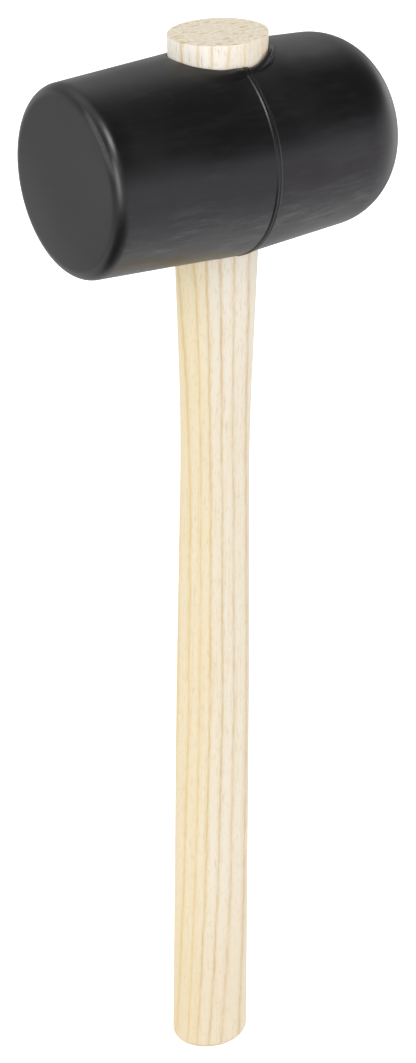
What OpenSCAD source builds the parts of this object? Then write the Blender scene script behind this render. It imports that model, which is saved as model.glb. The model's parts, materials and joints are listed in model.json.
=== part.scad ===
// Rubber mallet: a solid rubber head on an oval wooden handle.
//
// The head has a flat striking face at one end and a domed one at the other. It is moulded in two
// halves that meet in the plane of the handle, so it is thickest there, tapers towards both ends
// and carries a thin raised bead all round the join. A tapered oval eye runs through it from top
// to bottom. The handle is driven through the eye from above until its taper jams, and stands a
// little proud of the head's crest.
//
// Frame: the origin is the centre of the handle's butt, +Z runs up the handle, and the head lies
// along X with its flat face towards -X and its dome towards +X.

/* [Head] */
// Diameter of the head at the join, without the bead
head_d = 65; // [60:0.5:75]
// From the handle's centre line to the flat striking face
flat_reach = 55.1; // [45:0.1:65]
// From the handle's centre line to the tip of the dome
dome_reach = 57.8; // [52:0.1:70]
// Mould draft of the flat half, degrees a side
flat_draft = 3; // [0.5:0.1:5]
// Mould draft of the domed half, degrees a side
dome_draft = 3.4; // [0.5:0.1:5]
// Radius of the edge round the flat face
face_edge_r = 4.2; // [1:0.1:8]
// Radius of the shoulder between the domed half's side and its crown
shoulder_r = 20.7; // [12:0.1:24]
// Radius of the domed crown
crown_r = 56.5; // [50:0.5:80]

/* [Join of the head's halves] */
// Width of the raised bead
bead_w = 2; // [0.8:0.1:2.5]
// Height of the raised bead
bead_h = 0.35; // [0.1:0.05:0.6]

/* [Handle] */
// Length of the handle
handle_len = 363; // [361:0.5:380]
// Height of the head's centre line above the butt
head_z = 325.5; // [322:0.5:327]
// Width of the handle at the butt, measured along the head
butt_w = 26.9; // [25.5:0.1:29]
// Width of the handle where the grip starts to narrow
grip_w = 25.3; // [24.5:0.1:27]
// Height above the butt where the grip starts to narrow
grip_z = 141; // [100:1:160]
// Width of the handle where the grip's taper meets the eye's taper
waist_w = 22.8; // [20:0.1:24]
// Height above the butt where those two tapers meet
waist_z = 231.5; // [215:0.5:250]
// Width of the handle at its top
top_w = 32.1; // [31:0.1:34]
// Depth of the handle as a share of its width
oval = 0.86; // [0.75:0.01:1]
// Radius of the edge round the butt
butt_edge_r = 3; // [0.5:0.1:6]
// Radius of the edge round the top
top_edge_r = 0.4; // [0.2:0.1:1.5]
// Radius of the sweep where the grip starts to narrow
grip_sweep_r = 2500; // [500:100:4000]
// Radius of the sweep through the waist
waist_sweep_r = 900; // [200:50:1200]

/* [Eye] */
// Room between the handle and the wall of the eye, all round
seat_gap = 0.02; // [0.01:0.01:0.1]
// How far the upper mouth opens out at the crest, on each side
upper_flare = 0.5; // [0.3:0.1:2.5]
// Depth of the upper mouth's flare below the crest
upper_flare_depth = 3; // [2:0.5:14]
// How far the lower mouth opens out at the keel, on each side
lower_flare = 0.4; // [0.2:0.1:2]
// Depth of the lower mouth's flare above the keel
lower_flare_depth = 4; // [2:0.5:12]

/* [Hidden] */

head_r = head_d / 2;
crest_z = head_z + head_r;
keel_z = head_z - head_r;
// Width that the handle gains on each side per mm of height, from the waist to the top
eye_slope = (top_w - waist_w) / 2 / (handle_len - waist_z);
// How far a cutting shape runs past the surface it cuts
overrun = 3;

function unit(v) = v / norm(v);
function heading(v) = atan2(v[1], v[0]);

// Points along an arc about a centre, from one angle to another, in even steps.
function arc(centre, r, from, to, steps) =
    [for (i = [0:steps]) let (a = from + (to - from) * i / steps) centre + r * [cos(a), sin(a)]];

// Points along the arc of radius r that rounds the corner of an outline.
function rounded(before, corner, after, r, steps) =
    let (
        to_before = unit(before - corner),
        to_after = unit(after - corner),
        half_angle = acos(to_before * to_after) / 2,
        centre = corner + unit(to_before + to_after) * r / sin(half_angle),
        setback = r / tan(half_angle),
        from = heading(corner + to_before * setback - centre),
        turn = heading(corner + to_after * setback - centre) - from,
        short_turn = turn > 180 ? turn - 360 : turn < -180 ? turn + 360 : turn
    )
    arc(centre, r, from, from + short_turn, steps);

// Half width of the handle's straight taper through the eye, at a height.
function eye_half(z) = top_w / 2 - (handle_len - z) * eye_slope;

// Half outline of the head: distance from its axis, and place along it with the dome upwards.
module head_outline() {
    face_rim = [head_r - flat_reach * tan(flat_draft), -flat_reach];
    join_rim = [head_r, 0];

    // The bead's round top, cut off where it meets the two halves.
    bead_r = (pow(bead_h, 2) + pow(bead_w / 2, 2)) / (2 * bead_h);
    bead_centre = [head_r + bead_h - bead_r, 0];
    bead_spread = asin(bead_w / 2 / bead_r);

    // The shoulder's arc touches the domed half's side, and the crown's arc from inside.
    across = [cos(dome_draft), sin(dome_draft)];
    along = [-sin(dome_draft), cos(dome_draft)];
    crown_centre = [0, dome_reach - crown_r];
    foot = across * (head_r * cos(dome_draft) - shoulder_r);
    from_crown = foot - crown_centre;
    rise = sqrt(pow(crown_r - shoulder_r, 2) - pow(from_crown * across, 2)) - from_crown * along;
    shoulder_centre = foot + along * rise;
    crown_edge = heading(shoulder_centre - crown_centre);

    polygon(concat(
        [[0, -flat_reach]],
        rounded([0, -flat_reach], face_rim, join_rim, face_edge_r, 12),
        arc(bead_centre, bead_r, -bead_spread, bead_spread, 8),
        arc(shoulder_centre, shoulder_r, dome_draft, crown_edge, 24),
        arc(crown_centre, crown_r, crown_edge, 90, 8)
    ));
}

// Half outline of the handle along its wider axis, butt downwards. It runs on past both ends at the
// width of their flat faces.
module handle_outline() {
    base = [0, 0];
    butt = [butt_w / 2, 0];
    grip = [grip_w / 2, grip_z];
    waist = [waist_w / 2, waist_z];
    top = [top_w / 2, handle_len];
    tip = [0, handle_len];
    butt_edge = rounded(base, butt, grip, butt_edge_r, 8);
    top_edge = rounded(waist, top, tip, top_edge_r, 4);
    top_face_r = top_edge[len(top_edge) - 1][0];
    polygon(concat(
        [[0, -overrun], [butt_edge[0][0], -overrun]],
        butt_edge,
        rounded(butt, grip, waist, grip_sweep_r, 6),
        rounded(grip, waist, top, waist_sweep_r, 8),
        top_edge,
        [[top_face_r, handle_len + overrun], [0, handle_len + overrun]]
    ));
}

// Half outline of the room the handle passes through: its own taper, opened out at both mouths.
module eye_outline() {
    low = keel_z - overrun;
    lower_end = keel_z + lower_flare_depth;
    upper_start = crest_z - upper_flare_depth;
    high = crest_z + overrun;
    lower_spread = lower_flare * (lower_end - low) / lower_flare_depth;
    upper_spread = upper_flare * (high - upper_start) / upper_flare_depth;
    polygon([
        [0, low],
        [eye_half(low) + seat_gap + lower_spread, low],
        [eye_half(lower_end) + seat_gap, lower_end],
        [eye_half(upper_start) + seat_gap, upper_start],
        [eye_half(high) + seat_gap + upper_spread, high],
        [0, high]
    ]);
}

// Turns a half outline about the handle's centre line, a quarter at a time, and presses it into
// the handle's oval.
module oval_turned() {
    for (quarter = [0:90:270])
        scale([1, oval, 1]) rotate([0, 0, quarter]) rotate_extrude(angle = 90, $fn = 128) children();
}

module rubber_head() {
    color([0.16, 0.16, 0.17])
        difference() {
            translate([0, 0, head_z]) rotate([0, 90, 0]) rotate_extrude($fn = 180) head_outline();
            oval_turned() eye_outline();
        }
}

module wooden_handle() {
    color([0.93, 0.84, 0.68])
        intersection() {
            oval_turned() handle_outline();
            translate([-top_w, -top_w, 0]) cube([2 * top_w, 2 * top_w, handle_len]);
        }
}

rubber_head();
wooden_handle();
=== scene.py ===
"""Looks of the rubber mallet: finished meshes for its two pieces, their materials, and the stage.

Lengths are in millimetres until a mesh or a placement is handed to Blender, which takes metres.
The head is worked out about the point where its axis crosses the handle's centre line, and then
lifted to its height over the butt.
"""

import json
import math

import bpy
import numpy as np
from mathutils import Matrix, Vector


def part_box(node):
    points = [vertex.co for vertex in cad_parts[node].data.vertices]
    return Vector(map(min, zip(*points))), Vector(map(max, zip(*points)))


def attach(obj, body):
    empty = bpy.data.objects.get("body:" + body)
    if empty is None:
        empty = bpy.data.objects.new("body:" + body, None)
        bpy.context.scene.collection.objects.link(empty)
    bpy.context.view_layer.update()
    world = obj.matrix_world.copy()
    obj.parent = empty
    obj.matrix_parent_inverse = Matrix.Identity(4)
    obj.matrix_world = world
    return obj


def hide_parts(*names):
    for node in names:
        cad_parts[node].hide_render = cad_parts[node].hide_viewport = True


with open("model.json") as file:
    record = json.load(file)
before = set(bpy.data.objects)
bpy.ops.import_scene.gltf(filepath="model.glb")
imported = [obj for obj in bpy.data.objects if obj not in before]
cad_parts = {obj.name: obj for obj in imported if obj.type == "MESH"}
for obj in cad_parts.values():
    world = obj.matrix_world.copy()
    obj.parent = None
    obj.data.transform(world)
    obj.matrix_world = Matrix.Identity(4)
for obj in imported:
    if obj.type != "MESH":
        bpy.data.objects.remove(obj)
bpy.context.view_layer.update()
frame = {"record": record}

MM = 0.001

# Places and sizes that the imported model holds.
mounts = {mount["name"]: mount["pos_m"] for mount in frame["record"]["mounts"]}
FACE_X = mounts["striking_face"][0] / MM
HEAD_Z = mounts["striking_face"][2] / MM
HEAD_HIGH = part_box("rubber_head")[1] / MM
APEX_X = HEAD_HIGH.x
HANDLE_TOP = (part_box("wooden_handle")[1] / MM).z

# The head's form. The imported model's bead stands this high over the head's radius at the join.
PACKED_BEAD = 0.35
HEAD_R = HEAD_HIGH.y - PACKED_BEAD
FLAT_DRAFT = math.tan(math.radians(3.0))
DOME_DRAFT = math.tan(math.radians(3.4))
FACE_EDGE_R = 4.2
SHOULDER_R = 20.7
CROWN_R = 56.5

# The bead: a band with two rounded edges and a faint dip between them.
BEAD_HALF = 1.22        # half width at its foot
BEAD_CREST = 0.50       # from its middle to the crest of each edge
BEAD_RISE = 0.29
BEAD_DIP = 0.17

# The handle's form: half width along the head at a few heights, and depth as a share of width.
OVAL = 0.86
BUTT_HALF = 13.45
GRIP_HALF, GRIP_Z = 12.65, 141.0
WAIST_HALF, WAIST_Z = 11.4, 231.5
TOP_HALF = 16.05
BUTT_EDGE_R = 3.0
TOP_EDGE_R = 0.4
GRIP_SWEEP_R = 2500.0
WAIST_SWEEP_R = 900.0

# The handle leans a touch towards the flat face where it passes through the head.
LEAN = -0.4

# The rubber holds the handle close, with a rounded lip at each mouth of the eye.
SEAT_GAP = 0.04
MOUTH_GAP = 0.16
MOUTH_DEPTH = 5.0
LIP_R = 0.35

# The rubber that the driving fit pushed up round the upper mouth: a crisp roll, a gentle swell,
# how far both reach from the wood, and a crease at their foot. Each hump is its size, the angle
# round the handle's oval that it is centred on, in degrees from +X towards +Y, and its spread.
ROLL_HUMPS = ((2.7, -48, 17), (1.05, -99, 8), (0.5, 70, 30))
SWELL_HUMPS = ((0.60, -112, 24),)
SWELL_BASE = -0.12
REACH_HUMPS = ((0.7, -50, 24), (4.5, -130, 24))
REACH_BASE = 1.5
CREASE_HUMPS = ((0.38, -52, 24),)
ROLL_TOP = 0.48         # where the roll is highest, from 0 at its foot to 1 at the wood
ROLL_INNER = 0.5        # its height at the wood, as a share of its top

# The lower mouth has only a low, slightly wavy roll.
LOWER_ROLL = 0.10
LOWER_REACH = 1.1
LOWER_WAVE, LOWER_WAVES, LOWER_WAVE_AT = 0.06, 3, 40

# How finely the head is divided.
AROUND = 160            # points round the head
# Rings of the flat face, as shares of its radius up to the rounded edge
FACE_SHARES = (0.0, 0.12, 0.25, 0.4, 0.55, 0.7, 0.82, 0.92, 0.97)
MOUTH_REACH = 24.0      # half length of the patch of skin that is rebuilt round each mouth
MOUTH_ROWS = 20         # rows from the middle of that patch to its edge, round the head
BEAD_REACH = 1.5        # half length of the finely divided stretch at the bead
STRAIGHT_REACH = 1.6    # columns this near to the bead's middle run straight into the mouth
CORNER_SHARE = 0.7      # where the patch's corners meet the mouth, as a share of its half width
FOOT_OFFSET = 1.5       # about how far the foot of the pushed-up rubber stands off the wood
BLEND_RINGS = 16        # from the patch's edge to that foot
BLEND_POWER = 1.4       # above 1, those rings get closer towards the mouth
COLLAR_RINGS = 16
LIP_RINGS = 5
THROAT_RINGS = 6
WALL_RINGS = 14

# How finely the handle is divided.
HANDLE_AROUND = 128
HANDLE_STEP = 3.0       # height between two of its rings, roughly
# Rings of its two flat ends, as shares of their half width
END_SHARES = (0.97, 0.9, 0.8, 0.68, 0.54, 0.4, 0.26, 0.13)


# ---------------------------------------------------------------- helpers

class Surface:
    """Points and faces of a mesh while it is put together."""

    def __init__(self):
        self.points, self.faces = [], []

    def add(self, x, y, z):
        self.points.append((float(x), float(y), float(z)))
        return len(self.points) - 1

    def ring(self, x, y, z):
        return [self.add(*point) for point in zip(*np.broadcast_arrays(x, y, z))]

    def join(self, near, far, flip=False):
        """Faces between two closed rings."""
        for n in range(len(near)):
            m = (n + 1) % len(near)
            quad = (near[n], near[m], far[m], far[n])
            self.faces.append(quad[::-1] if flip else quad)

    def fan(self, ring, tip):
        """Faces between a closed ring and a point."""
        for n in range(len(ring)):
            self.faces.append((ring[n], ring[(n + 1) % len(ring)], tip))

    def piece(self, name, material, lift=0.0):
        """A smooth-shaded Blender object, raised by a height."""
        mesh = bpy.data.meshes.new(name)
        points = np.array(self.points) + (0.0, 0.0, lift)
        mesh.from_pydata((points * MM).tolist(), [], self.faces)
        mesh.polygons.foreach_set("use_smooth", [True] * len(mesh.polygons))
        mesh.materials.append(material)
        mesh.validate()
        mesh.update()
        piece = bpy.data.objects.new(name, mesh)
        bpy.context.scene.collection.objects.link(piece)
        return piece


def arc(centre, radius, start, end, steps):
    """Points on an arc; angles in radians."""
    angles = np.linspace(start, end, steps + 1)
    return [(centre[0] + radius * math.cos(a), centre[1] + radius * math.sin(a)) for a in angles]


def steps_to_one(count):
    """Even steps above 0, up to 1."""
    return np.linspace(0, 1, count + 1)[1:]


def share(value, start, end):
    """How far a value has gone from a start to an end, 0 to 1."""
    return np.clip((value - start) / (end - start), 0, 1)


def smoothstep(t):
    t = np.clip(t, 0.0, 1.0)
    return t * t * (3 - 2 * t)


def humps(degrees, parts):
    """Sum of smooth humps, each given as (size, centre, spread)."""
    return sum(size * np.exp(-0.5 * ((degrees - centre) / spread) ** 2)
               for size, centre, spread in parts)


# ---------------------------------------------------------------- the handle's taper and oval

def handle_half(z):
    """Half width of the handle's straight taper through the eye, z above the butt."""
    return TOP_HALF - (HANDLE_TOP - z) * (TOP_HALF - WAIST_HALF) / (HANDLE_TOP - WAIST_Z)


def lean(z):
    """How far the handle's centre line stands off its place, z above the butt."""
    return LEAN * smoothstep((z - WAIST_Z) / (HANDLE_TOP - WAIST_Z))


def oval(half, angles, z, offset=0.0):
    """Points of the handle's oval of a half width, z above the butt, or of a curve that stands off
    it; angles in radians."""
    return lean(z) + (half + offset) * np.cos(angles), (OVAL * half + offset) * np.sin(angles)


# ---------------------------------------------------------------- the head's surface

def bead(x):
    """Height of the bead over the side of the head."""
    size = np.abs(x)
    band = smoothstep((BEAD_HALF - size) / (BEAD_HALF - BEAD_CREST))
    return BEAD_RISE * band - BEAD_DIP * smoothstep(1 - size / BEAD_CREST)


def side_radius(x):
    draft = np.where(x < 0, FLAT_DRAFT, DOME_DRAFT)
    return HEAD_R - np.abs(x) * draft + bead(x)


def surface_z(x, y):
    """Height of the head's side over its axis."""
    return np.sqrt(side_radius(x) ** 2 - y * y)


def dome_arcs():
    """The shoulder's arc touches the domed half's side, and the crown's arc from inside."""
    slope = math.atan(DOME_DRAFT)
    across = np.array([math.sin(slope), math.cos(slope)])
    along = np.array([math.cos(slope), -math.sin(slope)])
    crown_centre = np.array([APEX_X - CROWN_R, 0.0])
    foot = across * (HEAD_R * math.cos(slope) - SHOULDER_R)
    gap = foot - crown_centre
    rise = math.sqrt((CROWN_R - SHOULDER_R) ** 2 - (gap @ across) ** 2) - gap @ along
    shoulder_centre = foot + along * rise
    towards = shoulder_centre - crown_centre
    crown_angle = math.atan2(towards[1], towards[0])
    shoulder = arc(shoulder_centre, SHOULDER_R, math.pi / 2 - slope, crown_angle, steps=30)
    crown = arc(crown_centre, CROWN_R, crown_angle, 0.0, steps=12)
    return shoulder, crown


def head_profile():
    """Outline of the head as (x, radius), from the centre of the flat face to the dome's tip."""
    slope = math.atan(FLAT_DRAFT)
    edge_x = FACE_X + FACE_EDGE_R
    edge_r = HEAD_R + FLAT_DRAFT * edge_x - FACE_EDGE_R / math.cos(slope)
    face = [(FACE_X, edge_r * s) for s in FACE_SHARES]
    edge = arc((edge_x, edge_r), FACE_EDGE_R, math.pi, math.pi / 2 + slope, steps=14)
    shoulder, crown = dome_arcs()
    side_x = np.concatenate([
        np.linspace(edge[-1][0], -MOUTH_REACH, 12)[1:],
        np.linspace(-MOUTH_REACH, -BEAD_REACH, 15)[1:-1],
        np.linspace(-BEAD_REACH, BEAD_REACH, 25),
        np.linspace(BEAD_REACH, MOUTH_REACH, 15)[1:],
        np.linspace(MOUTH_REACH, shoulder[0][0], 8)[1:-1],
    ])
    side = [(float(x), float(side_radius(x))) for x in side_x]
    return face + edge + side + shoulder + crown[1:]


def in_patch(row):
    """Whether a place round the head lies inside the upper or the lower patch."""
    upper = row < MOUTH_ROWS or row > AROUND - MOUTH_ROWS
    lower = abs(row - AROUND / 2) < MOUTH_ROWS
    return upper or lower


def turned_skin(surface, profile, first, last):
    """The turned skin, open where the patches go, between columns first and last. Row 0 is the top
    line, and rows go towards +Y. Gives the number of each point by column and row."""
    number = {}
    tips = (0, len(profile) - 1)
    for i, (x, radius) in enumerate(profile):
        if i in tips:
            tip = surface.add(x, 0.0, 0.0)
            number.update({(i, j): tip for j in range(AROUND)})
            continue
        for j in range(AROUND):
            if not (first < i < last and in_patch(j)):
                turn = 2 * math.pi * j / AROUND
                number[i, j] = surface.add(x, radius * math.sin(turn), radius * math.cos(turn))
    for i in range(len(profile) - 1):
        for j in range(AROUND):
            if first <= i < last and in_patch(j + 0.5):
                continue
            k = (j + 1) % AROUND
            corners = (number[i, j], number[i + 1, j], number[i + 1, k], number[i, k])
            # At a tip two corners are one point, and the face has three.
            surface.faces.append(tuple(dict.fromkeys(corners)))
    return number


def patch_edge(first, last):
    """Grid positions (column, row from the patch's middle) round the edge of a patch."""
    edge = [(i, -MOUTH_ROWS) for i in range(first, last)]
    edge += [(last, j) for j in range(-MOUTH_ROWS, MOUTH_ROWS)]
    edge += [(i, MOUTH_ROWS) for i in range(last, first, -1)]
    edge += [(first, j) for j in range(MOUTH_ROWS, -MOUTH_ROWS, -1)]
    return edge


def oval_angle(x, j, reach, middle):
    """The angle round the handle where a point of the patch's edge, at x and j rows from the
    patch's middle, comes to an oval whose half width is reach and whose centre is at middle."""
    if abs(j) < MOUTH_ROWS:
        t = math.acos(CORNER_SHARE) * j / MOUTH_ROWS
        return t if x > 0 else math.pi - t
    size = abs(x)
    if size > STRAIGHT_REACH:
        squeeze = (reach * CORNER_SHARE - STRAIGHT_REACH) / (MOUTH_REACH - STRAIGHT_REACH)
        size = STRAIGHT_REACH + (size - STRAIGHT_REACH) * squeeze
    t = math.acos((math.copysign(size, x) - middle) / reach)
    return -t if j < 0 else t


def collar(angles, upper):
    """The rubber round a mouth, at angles round the handle in radians: height of the roll, height
    of the swell, reach, and depth of the crease."""
    degrees = (np.degrees(angles) + 180) % 360 - 180
    if upper:
        swell = humps(degrees, SWELL_HUMPS) + SWELL_BASE
        reach = humps(degrees, REACH_HUMPS) + REACH_BASE
        return humps(degrees, ROLL_HUMPS), swell, reach, humps(degrees, CREASE_HUMPS)
    wave = np.cos(np.radians(LOWER_WAVES * degrees + LOWER_WAVE_AT))
    roll = LOWER_ROLL + LOWER_WAVE * wave
    none = np.zeros_like(angles)
    return roll, none, none + LOWER_REACH, none


def ridge(s):
    """Height across the roll, from its foot at 0 to the wood at 1, as a share of its top."""
    outside = np.sqrt(1 - (1 - min(s / ROLL_TOP, 1.0)) ** 2)
    return outside * (1 - (1 - ROLL_INNER) * smoothstep((s - ROLL_TOP) / (1 - ROLL_TOP)))


def mouth(surface, number, edge, xs, upper):
    """The rubber round one mouth, from the edge of its patch to the end of its throat. Gives the
    last ring and the angles of its points round the handle."""
    sign = 1 if upper else -1
    middle_row = 0 if upper else AROUND // 2
    level = HEAD_Z + sign * HEAD_R
    half = handle_half(level)
    edge_x = np.array([xs[i] for i, j in edge])
    edge_turn = np.array([2 * math.pi * j / AROUND for i, j in edge])
    angles = np.array([oval_angle(xs[i], j, half + FOOT_OFFSET, lean(level)) for i, j in edge])
    roll, swell, reach, crease = collar(angles, upper)
    rings = [[number[i, (middle_row + sign * j) % AROUND] for i, j in edge]]

    def add_ring(x, y, z):
        rings.append(surface.ring(x, y, sign * z))

    def off_wood(offset, z):
        return oval(handle_half(HEAD_Z + sign * z), angles, HEAD_Z + sign * z, offset)

    # The skin, drawn in to the foot of the collar.
    foot_x, foot_y = oval(half, angles, level, reach)
    foot_turn = np.arcsin(foot_y / side_radius(foot_x))
    for step in steps_to_one(BLEND_RINGS):
        s = 1 - (1 - step) ** BLEND_POWER
        x = edge_x + (foot_x - edge_x) * s
        y = side_radius(x) * np.sin(edge_turn + (foot_turn - edge_turn) * s)
        add_ring(x, y, surface_z(x, y) - crease * (step == 1))

    # The collar, which rises from the crease at its foot.
    z = surface_z(foot_x, foot_y)
    for s in steps_to_one(COLLAR_RINGS):
        x, y = off_wood(reach + (MOUTH_GAP + LIP_R - reach) * s, z)
        z = surface_z(x, y) + roll * ridge(s) + swell * smoothstep(s)
        add_ring(x, y, z)

    # The lip, which rolls over into the narrow gap.
    crest = z
    for turn in math.pi / 2 * steps_to_one(LIP_RINGS):
        x, y = off_wood(MOUTH_GAP + LIP_R * (1 - math.sin(turn)), z)
        z = crest - LIP_R * (1 - math.cos(turn))
        add_ring(x, y, z)

    # The throat, which closes on the wood.
    lip = z
    for s in steps_to_one(THROAT_RINGS):
        z = lip + (HEAD_R - MOUTH_DEPTH - lip) * s
        x, y = off_wood(MOUTH_GAP + (SEAT_GAP - MOUTH_GAP) * s, z)
        add_ring(x, y, z)

    for near, far in zip(rings, rings[1:]):
        surface.join(near, far, flip=not upper)
    return rings[-1], angles


def eye_wall(surface, top, low):
    """The wall of the eye between the two mouths, each given by its last ring and angles."""
    (before, top_angles), (low_ring, low_angles) = top, low
    for s in steps_to_one(WALL_RINGS)[:-1]:
        z = (HEAD_R - MOUTH_DEPTH) * (1 - 2 * s)
        angles = top_angles * (1 - s) + low_angles * s
        x, y = oval(handle_half(HEAD_Z + z), angles, HEAD_Z + z, SEAT_GAP)
        ring = surface.ring(x, y, z)
        surface.join(before, ring)
        before = ring
    surface.join(before, low_ring)


def build_head(material):
    profile = head_profile()
    xs = np.array([x for x, radius in profile])
    first = int(np.argmin(np.abs(xs + MOUTH_REACH)))
    last = int(np.argmin(np.abs(xs - MOUTH_REACH)))
    surface = Surface()
    number = turned_skin(surface, profile, first, last)
    edge = patch_edge(first, last)
    top = mouth(surface, number, edge, xs, upper=True)
    low = mouth(surface, number, edge, xs, upper=False)
    eye_wall(surface, top, low)
    return surface.piece("mallet_head", material, lift=HEAD_Z)


# ---------------------------------------------------------------- the handle's surface

def corner_arc(before, corner, after, radius, steps):
    """Points along the arc that rounds a corner of an outline."""
    before, corner, after = (np.array(p, float) for p in (before, corner, after))
    u, v = before - corner, after - corner
    u, v = u / np.linalg.norm(u), v / np.linalg.norm(v)
    half = math.acos(float(u @ v)) / 2
    middle = (u + v) / np.linalg.norm(u + v)
    centre = corner + middle * radius / math.sin(half)
    start = corner + u * radius / math.tan(half) - centre
    end = corner + v * radius / math.tan(half) - centre
    a = math.atan2(start[1], start[0])
    turn = math.atan2(end[1], end[0]) - a
    turn = (turn + math.pi) % (2 * math.pi) - math.pi
    return arc(centre, radius, a, a + turn, steps)


def handle_outline():
    """Half width and height, from the edge of the butt's flat to the edge of the top's flat."""
    base, butt = (0.0, 0.0), (BUTT_HALF, 0.0)
    grip, waist = (GRIP_HALF, GRIP_Z), (WAIST_HALF, WAIST_Z)
    top, tip = (TOP_HALF, HANDLE_TOP), (0.0, HANDLE_TOP)
    knots = corner_arc(base, butt, grip, BUTT_EDGE_R, steps=10)
    knots += corner_arc(butt, grip, waist, GRIP_SWEEP_R, steps=6)
    knots += corner_arc(grip, waist, top, WAIST_SWEEP_R, steps=16)
    knots += corner_arc(waist, top, tip, TOP_EDGE_R, steps=6)
    outline = [knots[0]]
    for half, z in knots[1:]:
        last_half, last_z = outline[-1]
        for s in steps_to_one(max(1, round((z - last_z) / HANDLE_STEP))):
            outline.append((last_half + (half - last_half) * s, last_z + (z - last_z) * s))
    return outline


def build_handle(material):
    outline = handle_outline()
    butt_flat, top_flat = outline[0][0], outline[-1][0]
    levels = [(butt_flat * s, 0.0) for s in reversed(END_SHARES)]
    levels += outline
    levels += [(top_flat * s, HANDLE_TOP) for s in END_SHARES]
    turns = 2 * np.pi * np.arange(HANDLE_AROUND) / HANDLE_AROUND
    surface = Surface()
    base = surface.add(0.0, 0.0, 0.0)
    rings = [surface.ring(*oval(half, turns, z), z) for half, z in levels]
    tip = surface.add(0.0, 0.0, HANDLE_TOP)
    surface.fan(rings[0][::-1], base)
    for near, far in zip(rings, rings[1:]):
        surface.join(near, far)
    surface.fan(rings[-1], tip)
    piece = surface.piece("mallet_handle", material)
    layer = piece.data.attributes.new("growth_ring", "FLOAT", "POINT")
    values = growth_rings(np.array(surface.points), outline)
    layer.data.foreach_set("value", values.astype(np.float32))
    return piece


# Growth rings stand as sheets across this direction. These are their places where the grip is
# straight, in half widths of the handle, and the gap between further ones.
RING_WAY = math.radians(-34.7)
RING_PLACES = (-0.63, -0.34, -0.08, 0.24, 0.54, 0.89)
RING_GAP = 0.30
FURTHER_RINGS = 9

# How far they drift by the butt, by the head and in the stub over the head, and what the outer
# ones add to that: the first by the head, the last by the butt. What they add grows from one
# place across the handle to another.
STRAIGHT_Z = 145.0
DRIFT_DOWN, DRIFT_UP, DRIFT_STUB = -0.26, -0.15, -0.06
FIRST_UP, FIRST_FROM, FIRST_FULL = -0.12, -0.50, -0.85
LAST_DOWN, LAST_FROM, LAST_FULL = 0.14, 0.30, 0.65


def growth_rings(points, outline):
    """Which growth ring each point lies in; whole numbers fall on the dark lines."""
    x, y, z = points.T
    halves, heights = np.array(outline).T
    body = (heights > BUTT_EDGE_R) & (heights < HANDLE_TOP - TOP_EDGE_R)
    half = np.interp(z, heights[body], halves[body])
    across = (x * math.cos(RING_WAY) + y * math.sin(RING_WAY)) / half
    first_extra = FIRST_UP * share(across, FIRST_FROM, FIRST_FULL)
    last_extra = LAST_DOWN * share(across, LAST_FROM, LAST_FULL)
    down = (DRIFT_DOWN + last_extra) * share(z, STRAIGHT_Z, 0.0) ** 2
    up = (DRIFT_UP + first_extra) * share(z, STRAIGHT_Z, HEAD_Z - HEAD_R) ** 2
    place = across - np.where(z > HEAD_Z + HEAD_R - MOUTH_DEPTH, DRIFT_STUB, down + up)
    further = FURTHER_RINGS * RING_GAP
    places = (RING_PLACES[0] - further, *RING_PLACES, RING_PLACES[-1] + further)
    count = len(RING_PLACES)
    return np.interp(place, places, (-FURTHER_RINGS, *range(count), count - 1 + FURTHER_RINGS))


# ---------------------------------------------------------------- materials

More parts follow.
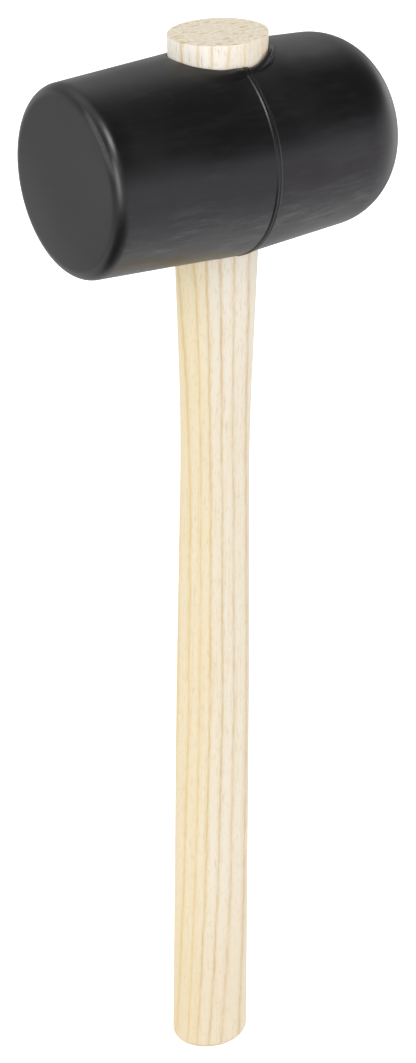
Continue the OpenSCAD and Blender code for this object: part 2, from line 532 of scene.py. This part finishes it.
class Nodes:
    """Adds shader nodes to a material or a world, and joins them."""

    def __init__(self, owner, shader_type):
        self.owner = owner
        owner.use_nodes = True
        self.tree = owner.node_tree
        self.shader = next(node for node in self.tree.nodes if node.type == shader_type)

    def link(self, value, socket):
        if isinstance(value, bpy.types.NodeSocket):
            self.tree.links.new(value, socket)
        else:
            socket.default_value = value

    def shade_with(self, **values):
        """Sets inputs of the shader, each named with _ for a space."""
        for name, value in values.items():
            self.link(value, self.shader.inputs[name.replace("_", " ")])

    def add(self, kind, out=0, inputs=None, **settings):
        node = self.tree.nodes.new(kind)
        for key, value in settings.items():
            setattr(node, key, value)
        for key, value in (inputs or {}).items():
            self.link(value, node.inputs[key])
        return node.outputs[out]

    def math(self, operation, a, b=0.0, clamp=False):
        return self.add("ShaderNodeMath", inputs={0: a, 1: b}, operation=operation,
                        use_clamp=clamp)

    def plus(self, a, b, clamp=False):
        return self.math("ADD", a, b, clamp)

    def minus(self, a, b):
        return self.math("SUBTRACT", a, b)

    def times(self, first, *others):
        for other in others:
            first = self.math("MULTIPLY", first, other)
        return first

    def spread(self, value, low, high, to_low=0.0, to_high=1.0, how="SMOOTHSTEP"):
        """Takes the range low to high to another range, and holds it there beyond its ends."""
        ends = {"From Min": low, "From Max": high, "To Min": to_low, "To Max": to_high}
        return self.add("ShaderNodeMapRange", inputs={"Value": value, **ends}, clamp=True,
                        interpolation_type=how)

    def straight(self, value, low, high, to_low, to_high):
        return self.spread(value, low, high, to_low, to_high, how="LINEAR")

    def mix(self, factor, a, b):
        """Mix of two colours."""
        return self.add("ShaderNodeMix", out=2, inputs={0: factor, 6: a, 7: b}, data_type="RGBA")

    def mix_values(self, factor, a, b):
        return self.add("ShaderNodeMix", inputs={0: factor, 2: a, 3: b})

    def noise(self, vector, scale=1.0, detail=3.0, roughness=0.5):
        return self.add("ShaderNodeTexNoise", inputs={"Vector": vector, "Scale": scale,
                        "Detail": detail, "Roughness": roughness})

    def stretched(self, vector, scale):
        """The vector with each axis multiplied by its own factor."""
        return self.add("ShaderNodeVectorMath", inputs={0: vector, 1: scale}, operation="MULTIPLY")

    def place(self):
        """Object coordinates in millimetres."""
        return self.stretched(self.add("ShaderNodeTexCoord", out="Object"), (1 / MM,) * 3)

    def normal(self):
        return self.add("ShaderNodeTexCoord", out="Normal")

    def parts(self, vector):
        """The three parts of a vector."""
        node = self.tree.nodes.new("ShaderNodeSeparateXYZ")
        self.link(vector, node.inputs[0])
        return node.outputs

    def bump(self, height, strength, distance):
        """Bumps of a depth in metres."""
        return self.add("ShaderNodeBump",
                        inputs={"Strength": strength, "Distance": distance, "Height": height})


def new_material(name):
    return Nodes(bpy.data.materials.new(name), "BSDF_PRINCIPLED")


def shade(red, green, blue, light):
    """The surface colour that looks like this on a screen, 0 to 255, in light of this strength."""
    def linear(v):
        return ((v / 255 + 0.055) / 1.055) ** 2.4 / light
    return (linear(red), linear(green), linear(blue), 1.0)


RUBBER_BLACK = (0.0050, 0.0050, 0.0054, 1)
RUBBER_DUSTY = (0.034, 0.033, 0.036, 1)
# A paler rubber for an arc on the flat face's rounded edge: partly rubbed wear and partly a
# painted highlight on its lit side.
RUBBER_WEAR_AND_HIGHLIGHT = (0.062, 0.062, 0.062, 1)
WEAR_AND_HIGHLIGHT_AT = -46.0       # middle of the paler arc, partly rubbed wear and partly a painted highlight, degrees from the top towards +Y
WEAR_AND_HIGHLIGHT_R = 27.0         # radius of that arc, which lies on the flat face's rounded edge


def face_grime(n, y, z, normal_x):
    """Grime on the flat face, low down and towards +Y."""
    on_face = n.spread(normal_x, -0.80, -0.95)
    return n.times(on_face, n.spread(n.minus(y, z), 8 - HEAD_Z, 45 - HEAD_Z, 0.0, 0.7))


def crest_dust(n, x, z, patch):
    """Dust on the crest of the domed half."""
    on_top = n.spread(z, HEAD_Z + 24, HEAD_Z + 31)
    patchy = n.spread(patch, 0.3, 0.55, 0.15, 0.55)
    return n.times(on_top, patchy, n.spread(x, 12, 19), n.spread(x, 42, 30))


def wear_and_highlight_arc(n, y, z, normal_x, grit):
    """An arc on the rounded edge of the flat face, painted paler on its +Z and -Y side, which
    faces the light: partly rubbed wear and partly a painted highlight.
    """
    turn = math.radians(WEAR_AND_HIGHLIGHT_AT)
    across = n.times(y, math.sin(turn) / WEAR_AND_HIGHLIGHT_R)
    up = n.times(n.minus(z, HEAD_Z), math.cos(turn) / WEAR_AND_HIGHLIGHT_R)
    middle = n.spread(n.plus(across, up), 0.90, 1.0)
    off_flat = n.spread(normal_x, -0.9995, -0.985)
    off_edge = n.spread(normal_x, -0.79, -0.88)
    return n.times(middle, off_flat, off_edge, n.spread(grit, 0.35, 0.55, 0.6, 1.0))


def rubber_gloss(n, normal_z, uneven, bead_low):
    """Strength of the reflections. It falls where the rubber turns away from the view, though less
    so underneath, and on the lower part of the bead."""
    turned_away = n.add("ShaderNodeLayerWeight", out="Facing", inputs={"Blend": 0.5})
    gloss = n.spread(turned_away, 0.62, 0.90, 0.5, 0.10)
    below = n.spread(normal_z, -0.45, -0.85, 0.0, 0.30)
    gloss = n.plus(gloss, n.times(below, n.spread(turned_away, 0.62, 0.90)))
    return n.times(gloss, n.plus(uneven, 0.97), n.minus(1.0, n.times(bead_low, 0.4)))


def rubber_material():
    n = new_material("black_rubber")
    place = n.place()
    x, y, z = n.parts(place)
    normal_x, _, normal_z = n.parts(n.normal())
    cloud = n.noise(place, 0.035, detail=4.0)
    patch = n.noise(place, 0.09)
    grit = n.noise(place, 1.6, detail=4.0, roughness=0.65)
    fine = n.noise(place, 5.0)
    streak = n.noise(n.stretched(place, (0.08, 0.50, 0.50)), detail=5.0, roughness=0.68)

    # The side is scuffed, mostly along its lower half, but not on the bead there.
    underside = n.spread(z, HEAD_Z + 4, HEAD_Z - 20)
    on_side = n.spread(n.math("ABSOLUTE", normal_x), 0.40, 0.15)
    on_bead = n.spread(n.math("ABSOLUTE", x), 1.20, 0.90)
    bead_low = n.times(on_bead, n.spread(z, HEAD_Z - 5, HEAD_Z - 20))
    worn = n.times(n.spread(patch, 0.38, 0.58, 0.25, 1.0), n.math("MAXIMUM", underside, 0.15))
    worn = n.times(worn, on_side, n.minus(1.0, bead_low))
    scuff = n.times(n.spread(streak, 0.47, 0.68), worn)

    # A cloudy bloom all over, with scuffs, grime and dust, then the paler arc by the face, partly
    # rubbed wear and partly a painted highlight.
    bloom = n.spread(cloud, 0.45, 0.75, 0.0, 0.22)
    dust = n.plus(bloom, n.plus(scuff, face_grime(n, y, z, normal_x)))
    dust = n.plus(dust, crest_dust(n, x, z, patch), clamp=True)
    color = n.mix(dust, RUBBER_BLACK, RUBBER_DUSTY)
    # The paler arc is partly a painted highlight on the lit side of the face's edge.
    color = n.mix(wear_and_highlight_arc(n, y, z, normal_x, grit), color, RUBBER_WEAR_AND_HIGHLIGHT)

    rough = n.plus(n.spread(grit, 0.3, 0.7, -0.02, 0.02), n.spread(cloud, 0.3, 0.7, 0.31, 0.38))
    rough = n.plus(rough, n.times(scuff, 0.06))
    uneven = n.times(n.straight(streak, 0.35, 0.65, -0.27, 0.27), worn)
    height = n.plus(n.times(grit, 0.5), n.times(fine, 0.3))
    height = n.plus(height, n.times(streak, 0.4))
    n.shade_with(Base_Color=color, Roughness=rough,
                 Specular_IOR_Level=rubber_gloss(n, normal_z, uneven, bead_low),
                 Normal=n.bump(height, strength=0.12, distance=0.0002))
    return n.owner


# Light on the open sides of the handle, on the stub over the black head, and on the sawn top.
ON_SIDES, ON_STUB, ON_TOP = 1.19, 1.02, 1.17
WOOD_WARM = shade(243, 227, 192, ON_SIDES)
WOOD_PALE = shade(243, 233, 214, ON_SIDES)
WOOD_LINE_WARM = shade(234, 205, 146, ON_SIDES)
WOOD_LINE_PALE = shade(222, 197, 156, ON_SIDES)
WOOD_FLECK = shade(224, 200, 165, ON_SIDES)
# Painted shade for the butt's rounded edge.
WOOD_RIM_SHADE = shade(206, 180, 136, ON_SIDES)
WOOD_BUTT = shade(236, 215, 178, ON_SIDES)
# Painted light: lighter wood just below the head, which offsets the head's shade on it.
WOOD_PAINTED_LIGHT_WARM = shade(255, 240, 202, ON_SIDES)
WOOD_PAINTED_LIGHT_PALE = shade(248, 240, 225, ON_SIDES)
STUB_WOOD = shade(252, 246, 235, ON_STUB)
# Painted shade: the stub's wood on its far side, darker than on its lit side.
STUB_WOOD_PAINTED_SHADE = shade(231, 221, 203, ON_STUB)
STUB_LINE = shade(234, 210, 168, ON_STUB)
STUB_LINE_WARM = shade(226, 190, 122, ON_STUB)
END_GRAIN = shade(221, 208, 184, ON_TOP)
END_GRAIN_PALE = shade(237, 229, 212, ON_TOP)
END_STREAK = shade(210, 194, 166, ON_TOP)
END_MARK = shade(203, 172, 122, ON_TOP)

# Heights between which the wood's colour changes, above the butt.
# The first pair is for the painted shade on the butt's rounded edge.
RIM_SHADE_FROM, RIM_SHADE_FULL = 2.2, 0.9
BUTT_FROM, BUTT_FULL = 80, 15
# Heights of the painted light just below the head.
PAINTED_LIGHT_FROM, PAINTED_LIGHT_FULL = 225, 290
STUB_FROM, STUB_FULL = 330, 345     # out of sight, in the eye


def growth_lines(n, place, ring, stub):
    """Place across the rings, which wavers a little, and strength of their dark lines. Each line
    has its own strength, which comes and goes, and they are finer on the stub."""
    wave = n.noise(n.stretched(place, (0.05, 0.05, 0.02)), detail=2.0)
    ripple = n.noise(n.stretched(place, (0.3, 0.3, 0.2)), detail=2.0, roughness=0.6)
    path = n.plus(ring, n.straight(wave, 0.3, 0.7, -0.06, 0.06))
    path = n.plus(path, n.straight(ripple, 0.3, 0.7, -0.04, 0.04))
    number = n.math("FLOOR", n.plus(path, 0.5))
    aside = n.math("ABSOLUTE", n.minus(path, number))
    aside = n.times(aside, n.plus(1.12, n.times(stub, 0.45)))
    own = n.add("ShaderNodeTexWhiteNoise", inputs={"W": number}, noise_dimensions="1D")
    gone = n.noise(n.stretched(place, (0.12, 0.12, 0.06)), roughness=0.7)
    strength = n.times(n.spread(own, 0.0, 1.0, 0.75, 1.0), n.spread(gone, 0.3, 0.6, 0.65, 1.0))
    pores = n.noise(n.stretched(place, (2.0, 2.0, 0.2)), detail=2.0)
    core = n.times(n.spread(aside, 0.18, 0.05), n.spread(pores, 0.35, 0.6, 0.6, 1.0))
    halo = n.spread(aside, 0.38, 0.08, 0.0, 0.25)
    return path, n.times(n.math("MAXIMUM", core, halo), strength)


def wood_between(n, z, ring, path, stub, fibre, mottle):
    """Colour between the lines: pale, and warmer towards the first ring, with each space a little
    different, and with fine fibres and mottling. Painted light lifts it just below the head,
    against the head's shade, and painted shade darkens the stub towards its far side."""
    own = n.add("ShaderNodeTexWhiteNoise", inputs={"W": n.math("FLOOR", path)},
                noise_dimensions="1D")
    tone = n.plus(n.spread(ring, 0.2, 4.2), n.straight(own, 0.0, 1.0, -0.15, 0.15))
    tone = n.plus(tone, n.straight(fibre, 0.3, 0.7, -0.60, 0.60))
    tone = n.plus(tone, n.straight(mottle, 0.3, 0.7, -0.35, 0.35), clamp=True)
    # Painted light just below the head, which offsets the head's shade there.
    painted_light_by_head = n.mix(n.spread(ring, 0.8, 2.8), WOOD_PAINTED_LIGHT_WARM, WOOD_PAINTED_LIGHT_PALE)
    # Painted shade: the stub darkens across the rings towards its far side.
    on_stub = n.mix(n.spread(ring, 1.8, 5.4), STUB_WOOD, STUB_WOOD_PAINTED_SHADE)
    color = n.mix(tone, WOOD_WARM, WOOD_PALE)
    color = n.mix(n.spread(z, PAINTED_LIGHT_FROM, PAINTED_LIGHT_FULL, 0.0, 0.75), color, painted_light_by_head)
    color = n.mix(n.spread(z, BUTT_FROM, BUTT_FULL, 0.0, 0.4), color, WOOD_BUTT)
    color = n.mix(stub, color, on_stub)
    grey = n.plus(n.spread(fibre, 0.48, 0.30, 0.0, 0.30), n.spread(mottle, 0.45, 0.30, 0.0, 0.25))
    return n.mix(grey, color, WOOD_FLECK)


def sawn_end(n, place, speck):
    """Colour of a sawn end: mottled, with faint streaks across the head, and short marks along
    it and specks."""
    patch = n.noise(n.stretched(place, (0.8, 0.8, 0.0)), detail=4.0, roughness=0.7)
    streak = n.noise(n.stretched(place, (1.1, 0.10, 0.0)), roughness=0.6)
    mark = n.noise(n.stretched(place, (0.17, 0.8, 0.0)), detail=2.0)
    color = n.mix(n.spread(patch, 0.38, 0.62), END_GRAIN, END_GRAIN_PALE)
    color = n.mix(n.spread(streak, 0.52, 0.68, 0.0, 0.45), color, END_STREAK)
    color = n.mix(n.spread(mark, 0.60, 0.64, 0.0, 0.9), color, END_MARK)
    return n.mix(n.spread(speck, 0.55, 0.72, 0.0, 0.35), color, END_MARK)


def wood_material():
    n = new_material("pale_ash")
    place = n.place()
    z = n.parts(place)[2]
    normal_z = n.parts(n.normal())[2]
    ring = n.add("ShaderNodeAttribute", out="Fac", attribute_name="growth_ring")
    fibre = n.noise(n.stretched(place, (1.2, 1.2, 0.018)), detail=4.0, roughness=0.7)
    mottle = n.noise(n.stretched(place, (1.0, 1.0, 0.4)), roughness=0.6)
    fleck = n.noise(n.stretched(place, (2.0, 2.0, 0.2)), detail=2.0, roughness=0.7)
    speck = n.noise(n.stretched(place, (2.4, 2.4, 0.0)), detail=2.0)

    stub = n.spread(z, STUB_FROM, STUB_FULL)
    path, line = growth_lines(n, place, ring, stub)
    color = wood_between(n, z, ring, path, stub, fibre, mottle)
    dark = n.mix(n.spread(ring, 0.5, 3.5), WOOD_LINE_WARM, WOOD_LINE_PALE)
    dark_stub = n.mix(n.spread(ring, 0.2, 1.4), STUB_LINE_WARM, STUB_LINE)
    color = n.mix(line, color, n.mix(stub, dark, dark_stub))
    color = n.mix(n.spread(fleck, 0.58, 0.70, 0.0, 0.6), color, WOOD_FLECK)
    # Painted shade on the butt's rounded edge, darker towards the floor.
    color = n.mix(n.spread(z, RIM_SHADE_FROM, RIM_SHADE_FULL, 0.0, 0.75), color, WOOD_RIM_SHADE)
    on_top = n.spread(normal_z, 0.25, 0.50)
    end = n.math("MAXIMUM", on_top, n.spread(normal_z, -0.75, -0.95))
    color = n.mix(end, color, sawn_end(n, place, speck))

    side_height = n.minus(n.times(fibre, 0.5), n.times(line, 0.5))
    height = n.mix_values(end, side_height, n.times(speck, 0.8))
    n.shade_with(Base_Color=color, Roughness=n.spread(fibre, 0.3, 0.7, 0.60, 0.72),
                 Specular_IOR_Level=0.3, Normal=n.bump(height, strength=0.25, distance=0.0003))
    return n.owner


def floor_material():
    n = new_material("floor_white")
    n.shade_with(Base_Color=(0.9, 0.9, 0.9, 1), Roughness=0.9, Specular_IOR_Level=0.0,
                 Emission_Color=(1, 1, 1, 1), Emission_Strength=0.55)
    return n.owner


# ---------------------------------------------------------------- pieces

head = build_head(rubber_material())
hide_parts("rubber_head")
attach(head, "root")

handle = build_handle(wood_material())
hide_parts("wooden_handle")
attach(handle, "root")


# ---------------------------------------------------------------- stage, light and camera

FLOOR_REACH = 6.0       # half width in metres


def build_floor():
    mesh = bpy.data.meshes.new("floor")
    signs = ((-1, -1), (1, -1), (1, 1), (-1, 1))
    mesh.from_pydata([(FLOOR_REACH * x, FLOOR_REACH * y, 0) for x, y in signs], [], [(0, 1, 2, 3)])
    mesh.materials.append(floor_material())
    floor = bpy.data.objects.new("floor", mesh)
    bpy.context.scene.collection.objects.link(floor)
    # The floor's light on the mallet comes from the studio's lower half.
    floor.visible_glossy = floor.visible_diffuse = False


# Soft boxes and panels, by azimuth and elevation, radius of the even part, radius of the edge, and
# strength. Angles are in degrees: azimuth from +X towards +Y, elevation from the horizon.
PANELS = (
    (-135, 52, 9, 16, 11.0),
    (-148, 6, 7, 13, 12.0),
    (-138, 18, 8, 30, 0.8),
    (150, 52, 8, 38, 0.8),
    (-50, -65, 5, 40, 0.6),
    (-10, -12, 8, 32, 0.2),
    (18, -10, 8, 24, 0.75),
)
# Stretches of the white sheet that are dimmed, with the share that each takes away.
DIMMED = (
    (-138, -57, 29, 48, 1.0),
    (160, -3, 8, 28, 0.75),
    (10, -45, 35, 75, 0.3),
    (122, -20, 9, 24, 0.38),
)
VIOLET_SIDE = (-45, -15, 12, 50, 1.0)
VIOLET = (1.02, 0.96, 1.07, 1)
WHITE = (1, 1, 1, 1)
SHADE = 0.062           # light of the dark room
BACK_WALL = 0.78
EVEN_LIGHT = 1.10       # light on matt surfaces from every side
MODELLING = 0.10        # share of the studio's light that they get as well


def toward(azimuth, elevation):
    """Unit vector in a direction given in degrees."""
    a, e = math.radians(azimuth), math.radians(elevation)
    return (math.cos(a) * math.cos(e), math.sin(a) * math.cos(e), math.sin(e))


def build_world():
    """A studio: white wall behind, white sheet below, dark room in front, and the panels."""
    world = bpy.data.worlds.new("studio")
    bpy.context.scene.world = world
    n = Nodes(world, "BACKGROUND")
    # Light is found from the surfaces' own rays, so that each kind of ray gets its own light.
    world.cycles.sampling_method = "NONE"
    way = n.add("ShaderNodeTexCoord", out="Generated")
    _, y, z = n.parts(way)

    def near(azimuth, elevation, inner, outer, strength):
        facing = n.add("ShaderNodeVectorMath", out="Value", operation="DOT_PRODUCT",
                       inputs={0: way, 1: toward(azimuth, elevation)})
        edge, even = (math.cos(math.radians(a)) for a in (outer, inner))
        return n.spread(facing, edge, even, 0.0, strength)

    above = n.spread(z, 0.04, 0.20)
    brighter_up = n.spread(z, 0.3, 0.75, 0.62, 1.0)
    wall = n.times(above, brighter_up, n.spread(y, 0.0, 0.70, 0.0, BACK_WALL))
    sheet = n.minus(1.0, above)
    for stretch in DIMMED:
        sheet = n.times(sheet, n.minus(1.0, near(*stretch)))
    studio = n.plus(n.plus(wall, sheet), SHADE)
    for panel in PANELS:
        studio = n.plus(studio, near(*panel))

    # Reflections show the studio, matt surfaces get a soft light, and the camera sees white.
    soft = n.plus(n.times(studio, MODELLING), EVEN_LIGHT)
    ray = n.tree.nodes.new("ShaderNodeLightPath").outputs
    lit = n.mix_values(ray["Is Diffuse Ray"], studio, soft)
    violet = n.mix(near(*VIOLET_SIDE), WHITE, VIOLET)
    n.shade_with(Color=n.mix(ray["Is Glossy Ray"], WHITE, violet),
                 Strength=n.mix_values(ray["Is Camera Ray"], lit, 1.0))


# The camera stands at this azimuth, in degrees from -Y towards +X, elevation and roll. The centre
# of its view is off the head's centre by the next two lengths.
AZIMUTH, ELEVATION, ROLL = -34.70, 26.32, 0.47
CAMERA_RIGHT, CAMERA_UP = -2.99, -116.14
CAMERA_DISTANCE = 914.4
FOCAL, SENSOR_WIDTH = 101.6, 36.0
FARTHEST = 50           # metres


def build_camera():
    """Looks at the mallet from the left, above and in front, centred part way down the handle."""
    a, e, r = (math.radians(v) for v in (AZIMUTH, ELEVATION, ROLL))
    back = Vector((math.sin(a) * math.cos(e), -math.cos(a) * math.cos(e), math.sin(e)))
    level = Vector((math.cos(a), math.sin(a), 0))
    lift = back.cross(level)
    right = math.cos(r) * level + math.sin(r) * lift
    up = -math.sin(r) * level + math.cos(r) * lift
    place = right * CAMERA_RIGHT + up * CAMERA_UP + back * CAMERA_DISTANCE + Vector((0, 0, HEAD_Z))
    data = bpy.data.cameras.new("camera")
    data.lens = FOCAL
    data.sensor_width = SENSOR_WIDTH
    data.clip_end = FARTHEST
    camera = bpy.data.objects.new("camera", data)
    axes = Matrix((right, up, back)).transposed().to_4x4()
    axes.translation = place * MM
    camera.matrix_world = axes
    bpy.context.scene.collection.objects.link(camera)
    bpy.context.scene.camera = camera


build_floor()
build_world()
build_camera()
bpy.context.scene.view_settings.view_transform = "Standard"
